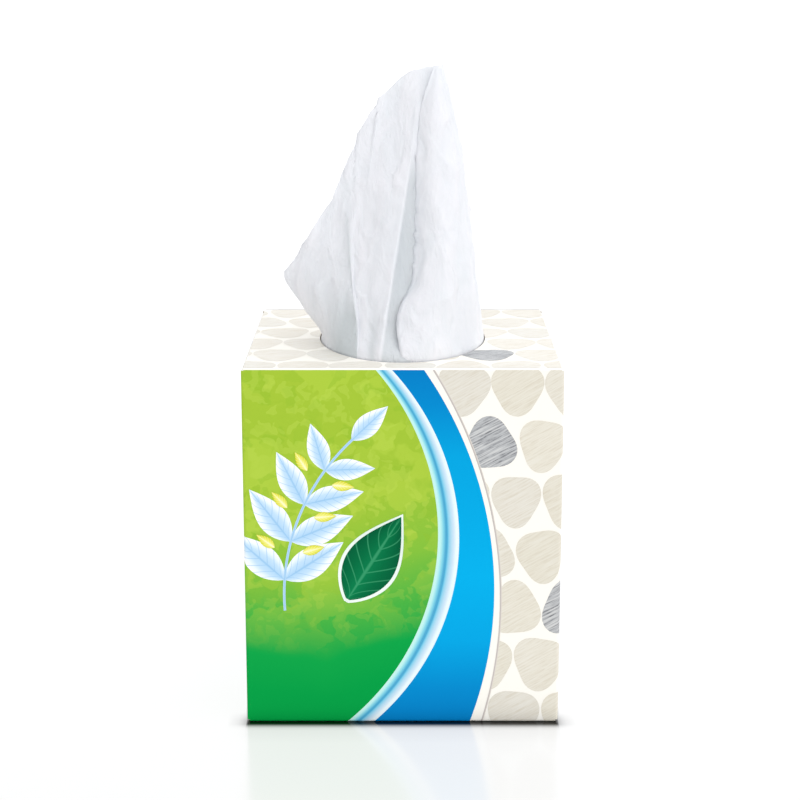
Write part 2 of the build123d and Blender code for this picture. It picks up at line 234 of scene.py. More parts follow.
def wrapped(along, up, lift):
    """The place on the folded walls of a point of the flat print."""
    past = past_corner(along)
    start = flap_fold_start(along)
    beyond = max(start - up, up - carton_height + start, 0)
    if abs(past) < fold_radius:
        middle = radians(225 + 90 * round(along / carton_side))
        centre = Vector((cos(middle), sin(middle))) * sqrt(2) * (half_side - fold_radius)
        angle = middle + radians(45) * past / fold_radius
        spot = centre + Vector((cos(angle), sin(angle))) * (fold_radius + lift)
    else:
        wall = floor(along / carton_side)
        angle = radians(270 + 90 * wall)
        out = Vector((cos(angle), sin(angle)))
        side = Vector((-out.y, out.x))
        roll = beyond / fold_radius
        reach_out = half_side - fold_radius + (fold_radius + lift) * cos(roll)
        spot = out * reach_out + side * (along - (wall + 0.5) * carton_side)
        if beyond > 0:
            drop = (fold_radius + lift) * sin(roll)
            up = start - drop if up < start else carton_height - start + drop
    return Vector((spot.x, spot.y, up))


def finish_mesh(bm, name, material, smooth=False):
    """Turns working geometry into an object with a material, riding on the box."""
    bmesh.ops.recalc_face_normals(bm, faces=bm.faces)
    mesh = bpy.data.meshes.new(name)
    bm.to_mesh(mesh)
    bm.free()
    mesh.materials.append(material)
    mesh.polygons.foreach_set("use_smooth", [smooth] * len(mesh.polygons))
    piece = bpy.data.objects.new(name, mesh)
    bpy.context.scene.collection.objects.link(piece)
    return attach(piece, "root")


def add_flat_shape(bm, outline, tone=0.5):
    """One flat field of ink, with a tone of its own from 0 to 1."""
    tones = bm.faces.layers.float.get("own_tone") or bm.faces.layers.float.new("own_tone")
    face = bm.faces.new([bm.verts.new((x, y, 0)) for x, y in outline])
    face[tones] = tone


def cut_flat(bm, place, direction, clear=False):
    """Cuts the flat fields along a line, and clears what lies beyond it if asked."""
    bmesh.ops.bisect_plane(
        bm, geom=bm.verts[:] + bm.edges[:] + bm.faces[:], plane_co=place, plane_no=direction,
        clear_outer=clear, dist=1e-7,
    )


def print_on_walls(bm, name, material, layer=0):
    """Trims flat fields to the walls, wraps them round the corners and folds and makes the piece."""
    for rise in sorted(set(flap_rises)):
        for share in (1, 0.6, 0.3, 0):
            under = fold_radius + rise - share * ink_under_base
            over = carton_height - fold_radius - rise + share * ink_over_top
            cut_flat(bm, (0, under, 0), (0, -1, 0), rise == 0 and share == 1)
            cut_flat(bm, (0, over, 0), (0, 1, 0), rise == 0 and share == 1)
    lowest = min(vert.co.x for vert in bm.verts)
    highest = max(vert.co.x for vert in bm.verts)
    for corner in range(-1, 5):
        if lowest - fold_radius < corner * carton_side < highest + fold_radius:
            for step in (-1, -0.6, -0.2, 0.2, 0.6, 1):
                cut_flat(bm, (corner * carton_side + step * fold_radius, 0, 0), (1, 0, 0))
    beyond = []
    for face in bm.faces:
        middle = face.calc_center_median()
        start = flap_fold_start(middle.x)
        on_corner = abs(past_corner(middle.x)) < fold_radius
        low = start - (0 if on_corner else ink_under_base)
        high = carton_height - start + (0 if on_corner else ink_over_top)
        if not low < middle.y < high:
            beyond.append(face)
    bmesh.ops.delete(bm, geom=beyond, context="FACES")
    seams = [edge for edge in bm.edges
             if all(abs(abs(past_corner(vert.co.x)) - fold_radius) < 1e-6 for vert in edge.verts)]
    bmesh.ops.split_edges(bm, edges=seams)
    print_place = bm.loops.layers.uv.new("print_place")
    places = {}
    for face in bm.faces:
        middle = face.calc_center_median().x
        for loop in face.loops:
            loop[print_place].uv = loop.vert.co.xy
            along = loop.vert.co.x + (middle - loop.vert.co.x) * 1e-4
            places[loop.vert] = wrapped(along, loop.vert.co.y, (layer + 1) * ink_lift + loop.vert.co.z)
    for vert, place in places.items():
        vert.co = place
    return finish_mesh(bm, name, material)


def new_ink(name, roughness=0.48):
    """An ink on the coated board, whose fibre shows faintly through it."""
    material, nodes, shader = new_material(name, Roughness=roughness)
    paper_relief(nodes, shader, 0.08, 0.00005)
    return material, nodes, shader


def map_place(nodes, uv_map="print_place"):
    """The place on a map of the mesh. On the map of the flat print it is in metres."""
    return add_node(nodes, "ShaderNodeUVMap", {"uv_map": uv_map}).outputs["UV"]


# Discs that bound the fields: the reach from the front left fold, the height of the centre and the radius
green_disc = (0.0679, 0.0698, 0.0916)
blue_inner_disc = (0.0753, 0.0678, 0.0914)
blue_outer_disc = (0.0878, 0.0481, 0.1434)
shadow_disc = (0.0898, 0.0447, 0.1596)
wall_steps = 90
wall_heights = [carton_height * step / wall_steps for step in range(wall_steps + 1)]


def grown(disc, margin):
    """A disc round the same centre whose radius is larger by a margin."""
    return disc[0] + margin, disc[1], disc[2] + margin


def disc_centre(disc):
    return disc[0] - disc[2], disc[1], 0


def disc_edge(disc):
    """The right edge of a disc on the front wall, as far as the wall goes."""
    across, centre, radius = disc
    return [(across - radius + sqrt(radius ** 2 - (up - centre) ** 2), up) for up in wall_heights]


def printed_band(name, ink, inner, outer, layer=0):
    """The field between two discs on the front, and its mirror image on the left wall."""
    bm = bmesh.new()
    for side in (1, -1):
        add_flat_shape(bm, [(side * x, up) for x, up in disc_edge(outer) + disc_edge(inner)[::-1]])
    return print_on_walls(bm, name, ink, layer)


# Place across a field, from one bounding disc to the next, as a share from 0 to 1
across_discs, discs_in, discs_out = new_group(
    "share across two discs",
    {"Place": ("Vector", None), "First Centre": ("Vector", None), "First Radius": ("Float", 1.0),
     "Second Centre": ("Vector", None), "Second Radius": ("Float", 1.0)},
    {"Share": "Float"},
)
nodes = across_discs.nodes
mirrored = vector_maths(nodes, "ABSOLUTE", discs_in.outputs["Place"])
edge_distances = []
for which in ("First", "Second"):
    to_centre = vector_maths(nodes, "DISTANCE", mirrored, discs_in.outputs[which + " Centre"])
    edge_distances.append(maths(nodes, "SUBTRACT", to_centre, discs_in.outputs[which + " Radius"]))
whole_width = maths(nodes, "SUBTRACT", *edge_distances)
feed(discs_out.inputs["Share"], maths(nodes, "DIVIDE", edge_distances[0], whole_width))


def share_across(nodes, first, second):
    """The share across the field between two discs."""
    return place_group(
        nodes, across_discs, Place=map_place(nodes), First_Centre=disc_centre(first), First_Radius=first[2],
        Second_Centre=disc_centre(second), Second_Radius=second[2],
    ).outputs["Share"]


# GREEN FIELD
# A lime green that turns to a deeper green below the middle, with faint lighter blots like pressed leaves.
# It is printed round the front left fold, so the left wall carries its mirror image.

green_ink, nodes, shader = new_ink("green ink")
parts = parts_of(nodes, map_place(nodes))
wander = add_node(nodes, "ShaderNodeTexNoise", Vector=map_place(nodes), Scale=40.0, Detail=1.0)
softened = maths(nodes, "MULTIPLY_ADD", wander.outputs["Fac"], 0.008, parts["Y"])
# The change of tone dips away from the fold and then climbs to the right: slopes, and heights in metres
from_fold = maths(nodes, "ABSOLUTE", parts["X"])
climb = maths(nodes, "MAXIMUM", maths(nodes, "MULTIPLY_ADD", from_fold, -0.12, 0.0060),
              maths(nodes, "MULTIPLY_ADD", from_fold, 0.32, -0.0068))
level_share = maths(nodes, "DIVIDE", maths(nodes, "SUBTRACT", softened, climb), carton_height)
ground = ramp(nodes, level_share, (0.08, 0, 157, 68), (0.19, 10, 162, 70), (0.3, 72, 176, 66),
              (0.42, 130, 189, 60), (0.62, 158, 193, 56), (1.0, 164, 195, 57))
bent = add_node(nodes, "ShaderNodeTexNoise", Vector=map_place(nodes), Scale=150.0, Detail=2.0)
bent_place = mix_colour(nodes, 0.010, map_place(nodes), bent.outputs["Color"], "ADD")
above = add_node(nodes, "ShaderNodeMapRange", Value=level_share, From_Min=0.2, From_Max=0.5, To_Min=0.0, To_Max=1.0)
for size, low, high, strength, tone in (
    (130.0, 0.42, 0.56, 0.55, linear(178, 207, 70)), (210.0, 0.6, 0.72, 0.4, linear(143, 186, 48)),
    (330.0, 0.58, 0.7, 0.35, linear(186, 212, 82)),
):
    blots = add_node(nodes, "ShaderNodeTexVoronoi", {"feature": "SMOOTH_F1"}, Vector=bent_place, Scale=size,
                     Smoothness=0.3)
    mask = ramp(nodes, blots.outputs["Color"], (low, 0), (high, strength))
    ground = mix_colour(nodes, maths(nodes, "MULTIPLY", mask, above.outputs["Result"]), ground, tone)
feed(shader.inputs["Base Color"], ground)

bm = bmesh.new()
right_edge = disc_edge(green_disc)
add_flat_shape(bm, right_edge + [(-x, up) for x, up in reversed(right_edge)])
green_field = print_on_walls(bm, "printed_green_field", green_ink)
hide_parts("green_field")

# PALE STRIPE AND SKY LINE
# Between the green and the blue runs a stripe that goes from pale aqua over sky blue to nearly white. A thin
# line down its middle is printed over it.

pale_ink, nodes, shader = new_ink("pale ink")
feed(shader.inputs["Base Color"], ramp(
    nodes, share_across(nodes, green_disc, blue_inner_disc), (0.0, 200, 238, 230), (0.12, 188, 238, 234),
    (0.26, 128, 208, 226), (0.38, 74, 166, 206), (0.6, 170, 216, 236), (0.74, 202, 224, 240),
    (0.86, 228, 243, 246), (1.0, 234, 246, 249),
))
pale_stripe = printed_band("printed_pale_stripe", pale_ink, green_disc, blue_inner_disc)
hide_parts("pale_stripe")

sky_line_width = 0.0013
sky_disc = tuple((first + second) / 2 for first, second in zip(green_disc, blue_inner_disc))
sky_inner, sky_outer = grown(sky_disc, -sky_line_width / 2), grown(sky_disc, sky_line_width / 2)
sky_ink, nodes, shader = new_ink("sky ink")
feed(shader.inputs["Base Color"], ramp(
    nodes, share_across(nodes, sky_inner, sky_outer), (0.0, 66, 160, 202), (0.28, 92, 182, 216),
    (0.6, 138, 206, 232), (1.0, 165, 214, 235),
))
sky_line = printed_band("printed_sky_line", sky_ink, sky_inner, sky_outer, 1)
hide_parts("sky_line")

# BLUE BAND
# A broad blue crescent, darker at its two ends and brightest a little below the middle. It is one field of ink
# on the coated board, next to the pale stripe.

blue_ink, nodes, shader = new_ink("blue ink")
level_share = maths(nodes, "DIVIDE", parts_of(nodes, map_place(nodes))["Y"], carton_height)
feed(shader.inputs["Base Color"], ramp(
    nodes, level_share, (0.0, 0, 124, 193), (0.1, 0, 137, 203), (0.24, 0, 164, 224), (0.42, 0, 174, 231),
    (0.76, 0, 162, 220), (0.9, 0, 136, 203), (1.0, 1, 124, 194),
))
blue_band = printed_band("printed_blue_band", blue_ink, blue_inner_disc, blue_outer_disc)
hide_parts("blue_band")

# SHADOW LINE
# The white edge right of the blue is bare board. A thin, soft, brown-grey line ends it, like a drop shadow.
# It is printed with the other fields, and the pebbles stop at it.

shadow_line_width = 0.0007
shadow_outer = grown(shadow_disc, shadow_line_width)
shadow_ink, nodes, shader = new_ink("shadow ink")
feed(shader.inputs["Base Color"], ramp(
    nodes, share_across(nodes, shadow_disc, shadow_outer), (0.0, 214, 208, 204), (0.3, 186, 177, 173),
    (1.0, 226, 220, 212),
))
shadow_line = printed_band("printed_shadow_line", shadow_ink, shadow_disc, shadow_outer)
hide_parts("shadow_line")

# PEBBLES
# Rounded three-cornered pebbles in cream, and a few in grey, are printed in staggered rows all round the walls
# and over the top. Each is filled with fine slanted brush strokes, which are strongest on the grey ones.

pebble_width, pebble_height = 0.0174, 0.0190
column_pitch, row_pitch = 0.0185, 0.0200
first_column, first_row = 0.0025, 0.0025
pebble_points = 44
oval_width, oval_length = 0.061, 0.093


def pebble_outline(x, y, number, turned_up=False):
    """A pebble hanging on its point, a few turned up, no two quite alike."""
    up = 1 if turned_up or number % 7 == 0 else -1
    tilt = radians(9 * sin(2 * number) + 90 * up)
    width = pebble_width * (1 + 0.05 * sin(3 * number))
    height = pebble_height * (1 + 0.05 * cos(5 * number))
    outline = []
    for i in range(pebble_points):
        angle = 2 * pi * i / pebble_points
        swell = 1 + 0.11 * cos(3 * (angle - tilt)) + 0.012 * sin(2 * angle + number)
        outline.append((x + width / 2 * swell * cos(angle), y + height / 2 * swell * sin(angle)))
    return outline


def keep_outside(outline, centre, half_width, half_height):
    """What an ellipse leaves of an outline, with points along the cut so that it follows the curve."""

    def value(spot):
        return hypot((spot[0] - centre[0]) / half_width, (spot[1] - centre[1]) / half_height) - 1

    def on_curve(spot):
        size = value(spot) + 1
        return tuple(c + (s - c) / size for s, c in zip(spot, centre))

    kept = []
    crossings = []
    for start, end in zip(outline, outline[1:] + outline[:1]):
        first, last = value(start), value(end)
        if first > 0:
            kept.append(start)
        if (first > 0) != (last > 0):
            share = first / (first - last)
            kept.append(on_curve([a + (b - a) * share for a, b in zip(start, end)]))
            crossings.append(len(kept) - 1)
    if len(crossings) == 2:
        leaving = crossings[0] if value(outline[0]) > 0 else crossings[1]
        start, end = kept[leaving], kept[(leaving + 1) % len(kept)]
        middle = [on_curve([a + (b - a) * step / 9 for a, b in zip(start, end)]) for step in range(1, 9)]
        kept[leaving + 1:leaving + 1] = middle
    return kept if len(kept) > 2 else []


def is_grey(row, column):
    return (6 * row + column) % 16 == 2


def pebble_places(start, width, low, high):
    """The pebbles on a stretch of the pattern: their places from its start, their numbers and whether grey."""
    for row in range(-1, int((high - low) / row_pitch) + 3):
        y = low + first_row + row * row_pitch
        shift = first_column + (row % 2) * column_pitch / 2
        first = int((start - shift) / column_pitch) - 1
        for column in range(first, first + int(width / column_pitch) + 4):
            x = shift + column * column_pitch - start
            inside = -pebble_width / 2 < x < width + pebble_width / 2
            if inside and low - pebble_height / 2 < y < high + pebble_height / 2:
                yield x, y, 29 * row + column, is_grey(row, column)


# Brush strokes: long thin streaks that lean on the flat print, and the places where they break off
brush_strokes, strokes_in, strokes_out = new_group(
    "brush strokes",
    {"Place": ("Vector", None), "Lean": ("Float", 0.5), "Fineness": ("Float", 1.0)},
    {"Streaks": "Float", "Broken": "Float"},
)
nodes = brush_strokes.nodes
turned = add_node(nodes, "ShaderNodeVectorRotate", {"rotation_type": "Z_AXIS"}, Vector=strokes_in.outputs["Place"],
                  Angle=maths(nodes, "MULTIPLY", strokes_in.outputs["Lean"], -1.0))
for label, scales, detail in (("Streaks", (85, 1900, 1), 3.0), ("Broken", (260, 1300, 1), 2.0)):
    drawn_out = add_node(nodes, "ShaderNodeMapping", Vector=turned.outputs[0], Scale=scales)
    streak = add_node(nodes, "ShaderNodeTexNoise", Vector=drawn_out.outputs[0], Scale=strokes_in.outputs["Fineness"],
                      Detail=detail, Roughness=0.6)
    feed(strokes_out.inputs[label], streak.outputs["Fac"])

bare_stroke = (0.86, 0.85, 0.81, 1)
bare_stroke_share = 0.36


def pebble_material(name, grounds, stroke_colour, stroke_amount, lean):
    """An ink drawn in slanted strokes, over a ground that differs a little from pebble to pebble."""
    material, nodes, shader = new_ink(name, 0.4)
    tone = add_node(nodes, "ShaderNodeAttribute", {"attribute_name": "own_tone"})
    ground = ramp(nodes, tone.outputs["Fac"], *grounds)
    strokes = place_group(nodes, brush_strokes, Place=map_place(nodes), Lean=lean, Fineness=1.0)
    dark = ramp(nodes, strokes.outputs["Streaks"], (0.46, 0), (0.6, 1))
    light = ramp(nodes, strokes.outputs["Streaks"], (0.38, 1), (0.47, 0))
    broken = ramp(nodes, strokes.outputs["Broken"], (0.35, 0), (0.58, 1))
    amount = maths(nodes, "MULTIPLY", maths(nodes, "MULTIPLY", dark, broken), stroke_amount)
    drawn = mix_colour(nodes, amount, ground, stroke_colour)
    lifted = maths(nodes, "MULTIPLY", light, stroke_amount * bare_stroke_share)
    drawn = mix_colour(nodes, lifted, drawn, bare_stroke)
    # Painted shade: the ink turns grey along the back top fold, as on the bare coat
    back_fold_shade = place_group(nodes, painted_back_fold_shade).outputs["Painted Shade"]
    feed(shader.inputs["Base Color"], mix_colour(nodes, back_fold_shade, drawn, painted_shade_grey))
    return material


cream_ink = pebble_material(
    "cream ink", ((0.0, 224, 219, 204), (0.5, 228, 223, 209), (1.0, 222, 218, 208)), linear(206, 197, 178), 0.52,
    radians(30),
)
# Painted light: a lighter copy of the cream ink for the top panel, which takes more light than the walls
cream_ink_painted_lighter_on_top = pebble_material(
    "cream ink painted lighter on top", ((0.0, 231, 227, 217), (0.5, 234, 230, 221), (1.0, 229, 227, 220)), linear(216, 208, 191),
    0.7, radians(30),
)
grey_ink = pebble_material(
    "grey ink", ((0.0, 184, 186, 188), (1.0, 194, 195, 196)), linear(112, 113, 117), 0.95, radians(28),
)

centre_x, centre_y, _ = disc_centre(shadow_disc)
front_edge_centre, left_edge_centre = (centre_x, centre_y), (4 * carton_side - centre_x, centre_y)
for is_grey_ink, name, material, slot in (
    (False, "cream_pebbles", cream_ink, "cream_ink"), (True, "grey_pebbles", grey_ink, "grey_ink"),
):
    bm = bmesh.new()
    for x, y, number, grey in pebble_places(0, 4 * carton_side, 0, carton_height):
        if grey != is_grey_ink:
            continue
        outline = pebble_outline(x, y, number, grey)
        for centre in (front_edge_centre, left_edge_centre):
            outline = keep_outside(outline, centre, shadow_outer[2], shadow_outer[2])
        if outline:
            add_flat_shape(bm, outline, (number * 0.37) % 1)
    cut_flat(bm, (4 * carton_side - fold_radius, 0, 0), (1, 0, 0), True)
    cut_flat(bm, (fold_radius, 0, 0), (-1, 0, 0), True)
    walls = print_on_walls(bm, "printed_" + name + "_on_walls", material)

    bm = bmesh.new()
    for x, y, number, grey in pebble_places(4 * carton_side, carton_side, -half_side, half_side):
        outline = pebble_outline(x - half_side, y, number)
        outline = keep_outside(outline, (0, 0), oval_width / 2, oval_length / 2)
        if grey == is_grey_ink and outline:
            add_flat_shape(bm, outline, (number * 0.37) % 1)
    for direction in ((1, 0, 0), (-1, 0, 0), (0, 1, 0), (0, -1, 0)):
        cut_flat(bm, Vector(direction) * (half_side - fold_radius), direction, True)
    print_place = bm.loops.layers.uv.new("print_place")
    for face in bm.faces:
        for loop in face.loops:
            loop[print_place].uv = loop.vert.co.xy
    for vert in bm.verts:
        vert.co.z = carton_height + ink_lift
    top = finish_mesh(bm, "printed_" + name + "_on_top", material)
    # The cream pebbles on the top take the copy with the painted light
    if not is_grey_ink:
        top.data.materials[0] = cream_ink_painted_lighter_on_top
    for piece in (walls, top):
        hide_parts(name)

# SPRIG OF LEAVES AND BUDS
# A light sprig is printed over the green: a thin stem with pairs of white leaves shaded pale blue towards the
# stalk, and small yellow buds between them.

stem_places = ((0.014, 0.042), (0.020, 0.078), (0.040, 0.106))
stem_width = 0.0009
leaf_length, leaf_width = 0.025, 0.011
bud_length, bud_width = 0.008, 0.0036
leaf_angle, bud_angle = radians(52), radians(64)


def circle_through(first, second, third):
    """The centre of the circle through three places."""
    (ax, ay), (bx, by), (cx, cy) = first, second, third
    twice = 2 * (ax * (by - cy) + bx * (cy - ay) + cx * (ay - by))
    a, b, c = ax * ax + ay * ay, bx * bx + by * by, cx * cx + cy * cy
    x = (a * (by - cy) + b * (cy - ay) + c * (ay - by)) / twice
    y = (a * (cx - bx) + b * (ax - cx) + c * (bx - ax)) / twice
    return Vector((x, y))


stem_centre = circle_through(*stem_places)
stem_foot, stem_tip = Vector(stem_places[0]), Vector(stem_places[2])
stem_turn = (stem_tip - stem_centre).angle_signed(stem_foot - stem_centre)


def swung(heading, angle):
    """A direction or a spoke on the flat print, turned by an angle."""
    return Vector((heading.x * cos(angle) - heading.y * sin(angle), heading.x * sin(angle) + heading.y * cos(angle)))


def on_stem(share):
    """A place on the stem and the direction of growth there."""
    spoke = swung(stem_foot - stem_centre, share * stem_turn)
    side = 1 if stem_turn > 0 else -1
    return stem_centre + spoke, Vector((-spoke.y, spoke.x)).normalized() * side


def half_leaf_width(share, width):
    return width / 2 * sin(pi * share ** 0.8)


def add_leaf(bm, foot, heading, length, width, steps=18, columns=6, rise=0.0):
    """A leaf as a small grid, with its share along and across kept for the veins."""
    leaf_place = bm.loops.layers.uv.get("leaf_place") or bm.loops.layers.uv.new("leaf_place")
    sideways = Vector((-heading.y, heading.x))
    rows = []
    for i in range(steps + 1):
        share = 0.01 + 0.985 * i / steps
        row = []
        for j in range(columns + 1):
            across = 2 * j / columns - 1
            spot = foot + heading * share * length + sideways * across * half_leaf_width(share, width)
            row.append((bm.verts.new((spot.x, spot.y, rise)), (share, across)))
        rows.append(row)
    for low, high in zip(rows, rows[1:]):
        for j in range(columns):
            corners = (low[j], low[j + 1], high[j + 1], high[j])
            face = bm.faces.new([vert for vert, place in corners])
            for loop, (vert, place) in zip(face.loops, corners):
                loop[leaf_place].uv = place


vein_count = 7


def leaf_material(name, stops, vein_colour, vein_amount, roughness):
    """A leaf ink that changes from the midrib to the edge, with slanted veins."""
    material, nodes, shader = new_ink(name, roughness)
    parts = parts_of(nodes, map_place(nodes, "leaf_place"))
    across = maths(nodes, "ABSOLUTE", parts["Y"])
    lengthwise = maths(nodes, "MULTIPLY_ADD", parts["X"], 0.35, maths(nodes, "MULTIPLY", across, 0.65))
    ground = ramp(nodes, lengthwise, *stops)
    slanted = maths(nodes, "MULTIPLY_ADD", across, -0.22, parts["X"])
    waves = maths(nodes, "SINE", maths(nodes, "MULTIPLY", slanted, 2 * pi * vein_count))
    veins = ramp(nodes, waves, (0.9, 0), (0.99, 1))
    midrib = ramp(nodes, across, (0.03, 1), (0.09, 0))
    both = maths(nodes, "MULTIPLY", maths(nodes, "MAXIMUM", veins, midrib), vein_amount)
    feed(shader.inputs["Base Color"], mix_colour(nodes, both, ground, vein_colour))
    return material


white_ink = leaf_material("white ink", (
    (0.0, 168, 208, 240), (0.4, 196, 224, 246), (0.62, 236, 246, 252), (0.8, 252, 253, 253),
), linear(140, 190, 230), 0.6, 0.34)
bm = bmesh.new()
overlap_rise = 0.000004
leaf_shares = ((0.16, 1.0), (0.36, 0.95), (0.56, 0.85), (0.76, 0.7))
leaves = [(share, turn, size) for share, size in leaf_shares for turn in (-leaf_angle, leaf_angle)]
leaves.append((0.96, 0.0, 0.7))
for number, (share, turn, size) in enumerate(leaves):
    foot, growth = on_stem(share)
    heading = swung(growth, turn)
    add_leaf(bm, foot, heading, size * leaf_length, size * leaf_width, rise=(number - 10) * overlap_rise)
leaf_place = bm.loops.layers.uv.get("leaf_place")
stem_sides = []
for step in range(25):
    spot, growth = on_stem(step / 24)
    sideways = Vector((-growth.y, growth.x)) * stem_width / 2
    stem_sides.append([bm.verts.new((*(spot + sideways * side), 0)) for side in (1, -1)])
for (left_low, right_low), (left_high, right_high) in zip(stem_sides, stem_sides[1:]):
    face = bm.faces.new((left_low, right_low, right_high, left_high))
    for loop, across in zip(face.loops, (0.16, -0.16, -0.16, 0.16)):
        loop[leaf_place].uv = (0.3, across)
leaf_sprig = print_on_walls(bm, "printed_leaf_sprig", white_ink, 1)
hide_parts("leaf_sprig")

yellow_ink = leaf_material("yellow ink", (
    (0.0, 250, 250, 214), (0.35, 240, 236, 120), (0.8, 214, 214, 40), (1.0, 196, 206, 40),
), linear(252, 252, 230), 0.5, 0.34)
bm = bmesh.new()
for share in (0.28, 0.48, 0.68):
    foot, growth = on_stem(share)
    for turn in (-bud_angle, bud_angle):
        heading = swung(growth, turn)
        add_leaf(bm, foot + heading * leaf_width / 2, heading, bud_length, bud_width)
sprig_buds = print_on_walls(bm, "printed_sprig_buds", yellow_ink, 2)
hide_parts("sprig_buds")

# DARK LEAF
# One large dark green leaf with a pale edge lies over the lower green. It is printed as two fields, the pale one
# first and the slightly smaller dark one on it.

dark_leaf_foot = Vector((0.036, 0.046))
dark_leaf_length, dark_leaf_width = 0.036, 0.018
dark_leaf_edge = 0.0012
dark_leaf_heading = Vector((cos(radians(58)), sin(radians(58))))
border_ink = leaf_material("pale border ink", (
    (0.0, 226, 240, 230), (0.7, 240, 248, 242), (1.0, 214, 232, 220),
), linear(240, 248, 242), 0.0, 0.3)
dark_green_ink = leaf_material("dark green ink", (
    (0.0, 10, 128, 78), (0.45, 2, 108, 64), (1.0, 0, 82, 50),
), linear(70, 168, 120), 0.55, 0.3)
for margin, node, material, slot, layer in (
    (dark_leaf_edge, "dark_leaf_border", border_ink, "border_ink", 2),
    (0.0, "dark_leaf", dark_green_ink, "dark_green_ink", 3),
):
    bm = bmesh.new()
    add_leaf(bm, dark_leaf_foot - dark_leaf_heading * margin, dark_leaf_heading, dark_leaf_length + 2 * margin,
             dark_leaf_width + 2 * margin, 40, 10)
    piece = print_on_walls(bm, "printed_" + node, material, layer)
    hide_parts(node)

# CLIP OF TISSUES
# About fifty-six two-ply tissues, interfolded and bent over together like an arch so that they fit the
# upright carton. Soft, faintly uneven on top, with the sheets' edges showing as fine layers at the ends.

clip_low, clip_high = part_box("tissue_clip")
clip_radius = clip_high.y
clip_thickness = 0.030
clip_bend_height = clip_high.z - clip_radius
sheet_count = 56
sheet_thickness = 0.00025


def crepe_material(name, layered):
    """Soft white tissue with crepe ridges, and the lines of its layers at the ends of a stack."""
    material, nodes, shader = new_material(
        name, Roughness=0.95, Subsurface_Weight=0.2, Subsurface_Radius=(1.0, 1.0, 1.0), Subsurface_Scale=0.002,
        Specular_IOR_Level=0.05,
    )
    place = add_node(nodes, "ShaderNodeTexCoord").outputs["Object"]
    stretched = add_node(nodes, "ShaderNodeMapping", Vector=place, Scale=(1.0, 1.0, 0.3)).outputs[0]
    crepe, streaks, soft = (
        add_node(nodes, "ShaderNodeTexNoise", Vector=stretched, Scale=scale, Detail=detail, Roughness=rough,
                 Distortion=distortion).outputs["Fac"]
        for scale, detail, rough, distortion in (
            (1300.0, 2.0, 0.6, 0.0), (420.0, 3.0, 0.6, 0.0), (150.0, 4.0, 0.55, 0.6),
        )
    )
    fine = maths(nodes, "MULTIPLY_ADD", crepe, 0.08, maths(nodes, "MULTIPLY", streaks, 0.22))
    bump = add_node(nodes, "ShaderNodeBump", Strength=0.8, Distance=0.0020, Height=maths(nodes, "ADD", soft, fine))
    feed(shader.inputs["Normal"], bump.outputs["Normal"])
    cloud = ramp(nodes, soft, (0.3, 231, 234, 239), (0.7, 239, 239, 244))
    # Painted shade: the colour turns darker grey where the sheet carries the crease shade
    crease_shade = add_node(nodes, "ShaderNodeAttribute", {"attribute_name": "painted_crease_shade"})
    cloud = mix_colour(nodes, crease_shade.outputs["Fac"], cloud, linear(202, 208, 211))
    if layered:
        parts = parts_of(nodes, map_place(nodes, "layers"))
        lines = maths(nodes, "SINE", maths(nodes, "MULTIPLY", parts["X"], 2 * pi * sheet_count))
        edges = ramp(nodes, lines, (0.0, 205, 207, 212), (0.5, 236, 237, 241))
        cloud = mix_colour(nodes, parts["Y"], cloud, edges)
    feed(shader.inputs["Base Color"], cloud)
    return material


arch_steps = 28
leg_steps = 10
foot_slack = 0.0015


def arch_run(radius):
    """The places (y, z) along one layer of the bent clip, from foot to foot. Outer layers end higher up."""
    leg_room = clip_bend_height - clip_low.z
    sheet_length = 2 * (leg_room + foot_slack) + pi * (clip_radius - clip_thickness)
    leg = (sheet_length - pi * radius) / 2
    foot = max(clip_bend_height - leg, clip_low.z)
    run = [(-radius, foot + min(leg, leg_room) * i / leg_steps) for i in range(leg_steps)]
    for i in range(arch_steps + 1):
        angle = pi * i / arch_steps
        run.append((-radius * cos(angle), clip_bend_height + radius * sin(angle)))
    return run + [(-y, z) for y, z in reversed(run[:leg_steps])]


clip_material = crepe_material("stacked tissue", True)
bm = bmesh.new()
layers_map = bm.loops.layers.uv.new("layers")
across_steps = 24
depth_steps = 8
half_width = clip_high.x
grid = {}
for depth in range(depth_steps + 1):
    radius = clip_radius - clip_thickness * depth / depth_steps
    for j in range(across_steps + 1):
        x = half_width * (2 * j / across_steps - 1)
        for i, (y, z) in enumerate(arch_run(radius)):
            spot = Vector((x, y, z))
            spread = noise.noise(spot * 60) * 0.0012 - 0.0007
            inset = abs(noise.noise(Vector((depth * 3.1, i * 0.35, 7.7)))) * 0.0012
            if depth in (0, depth_steps):
                out = Vector((0, y, max(z - clip_bend_height, 0))).normalized()
                spot += out * spread * (1 if depth == 0 else -0.5)
            if j in (0, across_steps):
                spot.x -= inset * (1 if x > 0 else -1)
            spot.z = max(spot.z, clip_low.z)
            grid[depth, j, i] = spot
run_count = len(arch_run(clip_radius))
verts = {}


def clip_face(keys, edge):
    """A face between places of the grid, which shows the layers' edges or not."""
    for key in keys:
        if key not in verts:
            verts[key] = bm.verts.new(grid[key])
    face = bm.faces.new([verts[key] for key in keys])
    for loop, key in zip(face.loops, keys):
        loop[layers_map].uv = (key[0] / depth_steps, edge)


for i in range(run_count - 1):
    for j in range(across_steps):
        for depth in (0, depth_steps):
            clip_face([(depth, j, i), (depth, j + 1, i), (depth, j + 1, i + 1), (depth, j, i + 1)], 0)
    for depth in range(depth_steps):
        for j in (0, across_steps):
            clip_face([(depth, j, i), (depth + 1, j, i), (depth + 1, j, i + 1), (depth, j, i + 1)], 1)
for depth in range(depth_steps):
    for j in range(across_steps):
        for i in (0, run_count - 1):
            clip_face([(depth, j, i), (depth + 1, j, i), (depth + 1, j + 1, i), (depth, j + 1, i)], 1)
tissue_clip = finish_mesh(bm, "stacked_tissues", clip_material, True)
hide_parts("tissue_clip")

